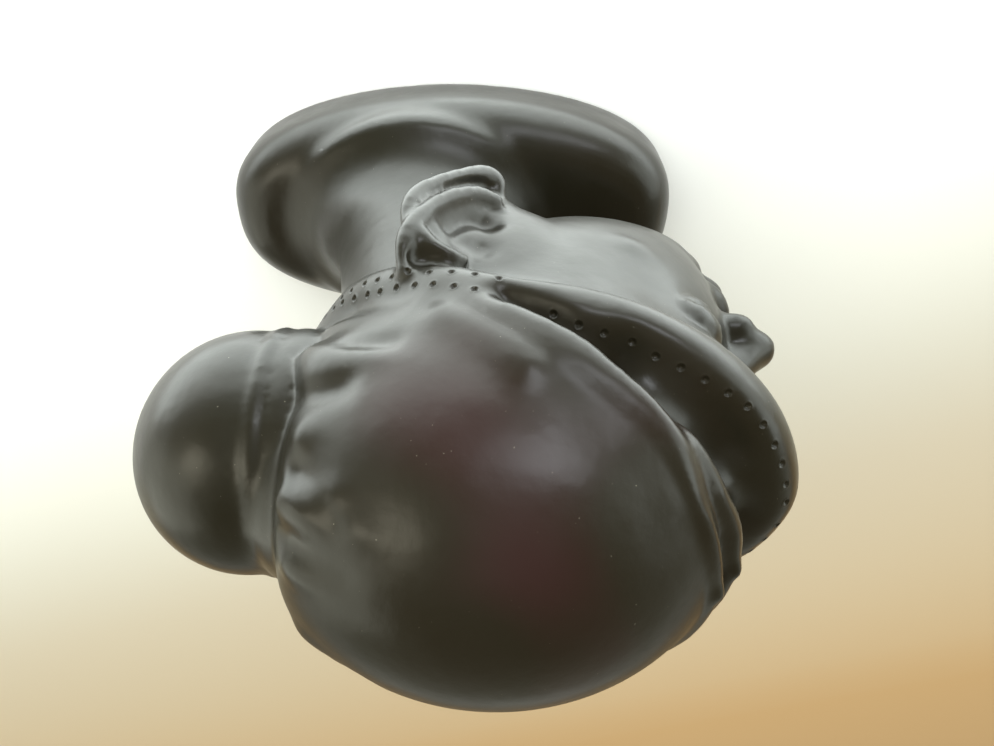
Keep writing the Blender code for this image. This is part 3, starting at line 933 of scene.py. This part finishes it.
def gather_strokes():
    """The step down from the pleats' ends to the tie, and the valleys between the pleats."""
    spots = [knot_point(angle, 0, step_spread(angle)) for angle in range(-80, 81, 10)]
    step = [Vector((spot.x, dome_front(spot.x, spot.z), spot.z)) for spot in spots]
    strokes = [(step, 0.024, -0.014)]
    for course, width, depth in (
        ([(140, -8), (129, -1), (117, 3)], 0.016, -0.007),
        ([(145, 8), (138, 12), (130, 14)], 0.018, -0.008),
        ([(147, 28), (144, 35), (141, 43)], 0.018, -0.011),
        ([(161, 35), (156, 44), (150, 52)], 0.018, -0.005),
    ):
        for side in (1, -1):
            strokes.append(on_dome(side, course, width, depth))
    return strokes


def crown_strokes():
    """Long shallow folds over the crown, and the creased edges of its folds beside the brim."""
    apron = [(109, -13), (95, -3), (84, 7), (75, 15), (68, 20), (58, 26), (46, 31), (36, 36)]
    soft = [(104, -2), (94, 7), (87, 13), (82, 18)]
    soft_end = [(84, 16), (79, 21), (74, 26)]
    long_edge = [(52, 21), (44, 26), (37, 31), (30, 34), (22, 35.5), (0, 36)]
    short_edge = [(48, 16), (38, 22.5), (31, 26), (23, 28.5), (12, 28.5), (0, 28.5)]
    crease = [(50, 18.5), (42, 23.5), (34, 28), (26, 31.5), (14, 32.5), (0, 32.5)]
    strokes = []
    for side in (1, -1):
        for course, width, height in (
            (apron, 0.034, 0.007),
            (soft, 0.028, 0.010),
            (soft_end, 0.036, 0.004),
            (long_edge, 0.014, 0.007),
            (short_edge, 0.013, 0.009),
            (crease, 0.012, -0.013),
        ):
            strokes.append(on_dome(side, course, width, height))
    return strokes


def dot_places():
    """Places of the dots, in two rows on the border, walked from the nape to the front."""
    drift = np.random.default_rng(7)
    places = []
    for side in (1, -1):
        for row in (UPPER_ROW, LOWER_ROW):
            known, turns = zip(*sorted(row))
            walked = 0.0
            last = None
            for azimuth in np.arange(known[-1], known[0] - DOT_WALK / 2, -DOT_WALK):
                turn = math.radians(np.interp(azimuth, known, turns))
                spot = border_point(side * azimuth, turn)
                if last is not None:
                    walked += (spot - last).length
                last = spot
                if walked > DOT_SPACING:
                    walked = drift.uniform(-DOT_DRIFT, DOT_DRIFT) * DOT_SPACING
                    places.append(spot)
    return places


def points_near(bm):
    """A finder of the mesh's points round a place."""
    finder = KDTree(len(bm.verts))
    for i, vert in enumerate(bm.verts):
        finder.insert(vert.co, i)
    finder.balance()
    bm.verts.ensure_lookup_table()
    return finder


def make_finer(bm, dots, reach):
    """Splits the longer edges that start within a reach of a dot, given in dot radii."""
    near = points_near(bm)
    close = set()
    for spot, _ in dots:
        close.update(i for _, i, _ in near.find_range(spot, reach * DOT_RADIUS))
    edges = set()
    for i in close:
        for edge in bm.verts[i].link_edges:
            if edge.calc_length() > SHORTEST_SPLIT * DOT_RADIUS:
                edges.add(edge)
    bmesh.ops.subdivide_edges(bm, edges=list(edges), cuts=1)
    bmesh.ops.triangulate(bm, faces=[face for face in bm.faces if len(face.verts) > 3])


def punch_dots(obj):
    """Presses each dot into the skin: a round pit with a faint raised lip."""
    bm = bmesh.new()
    bm.from_mesh(obj.data)
    tree = BVHTree.FromBMesh(bm)
    dots = []
    for place in dot_places():
        spot, normal, _, gap = tree.find_nearest(place)
        if gap < DOT_SEARCH * DOT_RADIUS:
            dots.append((spot, normal))
    for reach in FINER_WITHIN:
        make_finer(bm, dots, reach)
    near = points_near(bm)
    moves = {}
    for spot, normal in dots:
        for _, i, gap in near.find_range(spot, PUNCH_REACH * DOT_RADIUS):
            share = gap / DOT_RADIUS
            pit = -DOT_DEPTH * math.exp(-(share**3))
            lip = LIP_SHARE * DOT_DEPTH * math.exp(-(((share - LIP_AT) / LIP_WIDTH) ** 2))
            moves[i] = moves.get(i, Vector()) + normal * (pit + lip)
    for i, move in moves.items():
        bm.verts[i].co += move
    bm.to_mesh(obj.data)
    bm.free()


def cut_underside(obj):
    """Cuts the plinth flat at z = 0."""
    bm = bmesh.new()
    bm.from_mesh(obj.data)
    cut_flat(bm, (0, 0, -1), CUT_GAP)
    bm.to_mesh(obj.data)
    bm.free()


# Glaze and stage


def new_material(name):
    """A material with its node tree and its shader."""
    material = bpy.data.materials.new(name)
    material.use_nodes = True
    return material, material.node_tree, material.node_tree.nodes["Principled BSDF"]


def object_place(tree):
    """The place of a point on its object."""
    return tree.nodes.new("ShaderNodeTexCoord").outputs["Object"]


def add_map(tree, source, low, high, share_low=0.0):
    """A share between share_low and 1 of the way from low to high."""
    node = tree.nodes.new("ShaderNodeMapRange")
    node.inputs["From Min"].default_value = low
    node.inputs["From Max"].default_value = high
    node.inputs["To Min"].default_value = share_low
    tree.links.new(source, node.inputs["Value"])
    return node.outputs["Result"]


def add_ramp(tree, source, tints, interpolation="LINEAR"):
    """Colours along a value, from pairs of a position and a colour."""
    node = tree.nodes.new("ShaderNodeValToRGB")
    node.color_ramp.interpolation = interpolation
    bands = node.color_ramp.elements
    while len(bands) < len(tints):
        bands.new(0.5)
    for band, (position, tint) in zip(bands, tints):
        band.position = position
        band.color = (*tint, 1.0)
    tree.links.new(source, node.inputs["Fac"])
    return node.outputs["Color"]


def add_noise(tree, source, scale, detail):
    """A noise over places, at a scale and a detail."""
    node = tree.nodes.new("ShaderNodeTexNoise")
    node.inputs["Scale"].default_value = scale
    node.inputs["Detail"].default_value = detail
    tree.links.new(source, node.inputs["Vector"])
    return node.outputs["Fac"]


def add_relief(tree, source, strength, height):
    """The node of a relief that a value raises."""
    node = tree.nodes.new("ShaderNodeBump")
    node.inputs["Strength"].default_value = strength
    node.inputs["Distance"].default_value = height
    tree.links.new(source, node.inputs["Height"])
    return node


def cloud_tints(tree, place):
    """Soft clouds from olive to a dark red, redder towards the crown."""
    shifted = tree.nodes.new("ShaderNodeVectorMath")
    shifted.inputs[1].default_value = CLOUD_SHIFT
    tree.links.new(place, shifted.inputs[0])
    height = tree.nodes.new("ShaderNodeSeparateXYZ")
    tree.links.new(place, height.inputs["Vector"])
    share = add_map(tree, height.outputs["Z"], CLOUD_COOL_BELOW, CLOUD_WARM_ABOVE, CLOUD_LOW_SHARE)
    warmth = tree.nodes.new("ShaderNodeMath")
    warmth.operation = "MULTIPLY"
    tree.links.new(add_noise(tree, shifted.outputs["Vector"], *CLOUD_NOISE), warmth.inputs[0])
    tree.links.new(share, warmth.inputs[1])
    return add_ramp(tree, warmth.outputs["Value"], CLOUD_TINTS, "EASE")


def glaze():
    """A dark olive satin glaze with a fine ripple. Faint clouds turn it redder over the scarf."""
    material, tree, shader = new_material("glaze")
    links = tree.links
    place = object_place(tree)
    shader.inputs["IOR"].default_value = GLAZE_IOR
    specks = add_ramp(tree, add_noise(tree, place, *SPECK_NOISE), SPECK_TINTS, "EASE")
    mix = tree.nodes.new("ShaderNodeMix")
    mix.data_type = "RGBA"
    mix.blend_type = "ADD"
    mix.inputs["Factor"].default_value = 1.0
    links.new(cloud_tints(tree, place), mix.inputs["A"])
    links.new(specks, mix.inputs["B"])
    links.new(mix.outputs["Result"], shader.inputs["Base Color"])
    gloss = add_ramp(tree, add_noise(tree, place, *GLOSS_NOISE), GLOSS_RANGE, "EASE")
    links.new(gloss, shader.inputs["Roughness"])
    ripple = add_relief(tree, add_noise(tree, place, *RIPPLE_NOISE), *RIPPLE_RELIEF)
    grain = add_relief(tree, add_noise(tree, place, *GRAIN_NOISE), *GRAIN_RELIEF)
    links.new(ripple.outputs["Normal"], grain.inputs["Normal"])
    links.new(grain.outputs["Normal"], shader.inputs["Normal"])
    return material


def stage():
    """A pale floor under the plinth, with painted light: white beside the figure's left and darker
    and warmer to its right, as painted shade.
    """
    bpy.ops.mesh.primitive_plane_add(size=FLOOR_SIZE)
    floor = bpy.context.active_object
    floor.name = "floor"
    material, tree, shader = new_material("floor_painted_light")
    shader.inputs["Roughness"].default_value = FLOOR_ROUGHNESS
    along = tree.nodes.new("ShaderNodeVectorMath")
    along.operation = "DOT_PRODUCT"
    along.inputs[1].default_value = FLOOR_WAY
    tree.links.new(object_place(tree), along.inputs[0])
    share = add_map(tree, along.outputs["Value"], FLOOR_SHADED_END, FLOOR_LIT_END)
    # painted light and shade on the floor: white and bright at one end, darker and warmer towards
    # the other
    painted_light = add_ramp(tree, share, FLOOR_LIGHT_AND_SHADE_TINTS, "B_SPLINE")
    tree.links.new(painted_light, shader.inputs["Base Color"])
    floor.data.materials.append(material)


def soft_box(name, place, target, sides, radiance, colour, glossy):
    """A rectangular lamp the camera does not see. Its power grows with its radiance and area."""
    data = bpy.data.lights.new(name, "AREA")
    data.shape = "RECTANGLE"
    data.size, data.size_y = sides
    data.energy = radiance * math.pi * sides[0] * sides[1]
    data.color = colour
    lamp = bpy.data.objects.new(name, data)
    lamp.location = place
    lamp.rotation_euler = (Vector(target) - Vector(place)).to_track_quat("-Z", "Y").to_euler()
    lamp.visible_camera = False
    lamp.visible_glossy = glossy
    bpy.context.scene.collection.objects.link(lamp)


def surroundings():
    """A plain studio all round, with its tints by height."""
    world = bpy.data.worlds.new("studio")
    world.use_nodes = True
    tree = world.node_tree
    split = tree.nodes.new("ShaderNodeSeparateXYZ")
    way = tree.nodes.new("ShaderNodeTexCoord").outputs["Generated"]
    tree.links.new(way, split.inputs["Vector"])
    height = add_map(tree, split.outputs["Z"], -1.0, 1.0)
    tint = add_ramp(tree, height, SKY_TINTS)
    tree.links.new(tint, tree.nodes["Background"].inputs["Color"])
    bpy.context.scene.world = world


def camera():
    """The camera at the photo's angle to the figure."""
    data = bpy.data.cameras.new("camera")
    data.sensor_width = SENSOR_WIDTH
    data.lens = SENSOR_WIDTH * LENS_PIXELS / PICTURE_WIDTH
    data.clip_start = CLIP_START
    viewer = bpy.data.objects.new("camera", data)
    up = CAMERA_RIGHT.cross(CAMERA_AHEAD)
    axes = Matrix((CAMERA_RIGHT, up, -CAMERA_AHEAD)).transposed()
    viewer.matrix_world = Matrix.Translation(CAMERA_PLACE) @ axes.to_4x4()
    bpy.context.scene.collection.objects.link(viewer)
    bpy.context.scene.camera = viewer


def model_bust():
    """The whole figure: its masses, its features and folds, its dots and its flat underside."""
    masses = [plinth(), neck(), head_form(), occiput()]
    masses += [*both_sides(cheekbones), *both_sides(ear_roots)]
    masses += [ball(DOME_CENTRE, DOME_RADII), border(), bun()]
    bust = fuse(masses, MASS_BLEND)
    draw_strokes(bust, both_sides(socket_strokes))
    bust = fuse([bust, *nose(), *lips(), chin(), *gathers(), *crown_ridges()], FACE_BLEND)
    draw_strokes(bust, both_sides(trough_strokes) + gather_strokes())
    features = [*both_sides(eye), *both_sides(ear), *tie()]
    bust = fuse([bust, *features], FEATURE_BLEND, FINE_GRAIN)
    draw_strokes(bust, both_sides(face_strokes) + mouth_strokes())
    draw_strokes(bust, both_sides(ear_strokes) + crown_strokes())
    soften(bust, LAST_BLEND, FINE_GRAIN)
    thin(bust)
    punch_dots(bust)
    cut_underside(bust)
    bust.name = "glazed_bust"
    bust.data.shade_smooth()
    return bust


def main():
    """Builds the scene."""
    camera()
    bust = model_bust()
    bust.data.materials.clear()
    bust.data.materials.append(glaze())
    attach(bust, "root")
    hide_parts("female_bust")
    stage()
    for lamp in LAMPS:
        soft_box(*lamp)
    surroundings()
    bpy.context.scene.view_settings.view_transform = "Standard"


main()
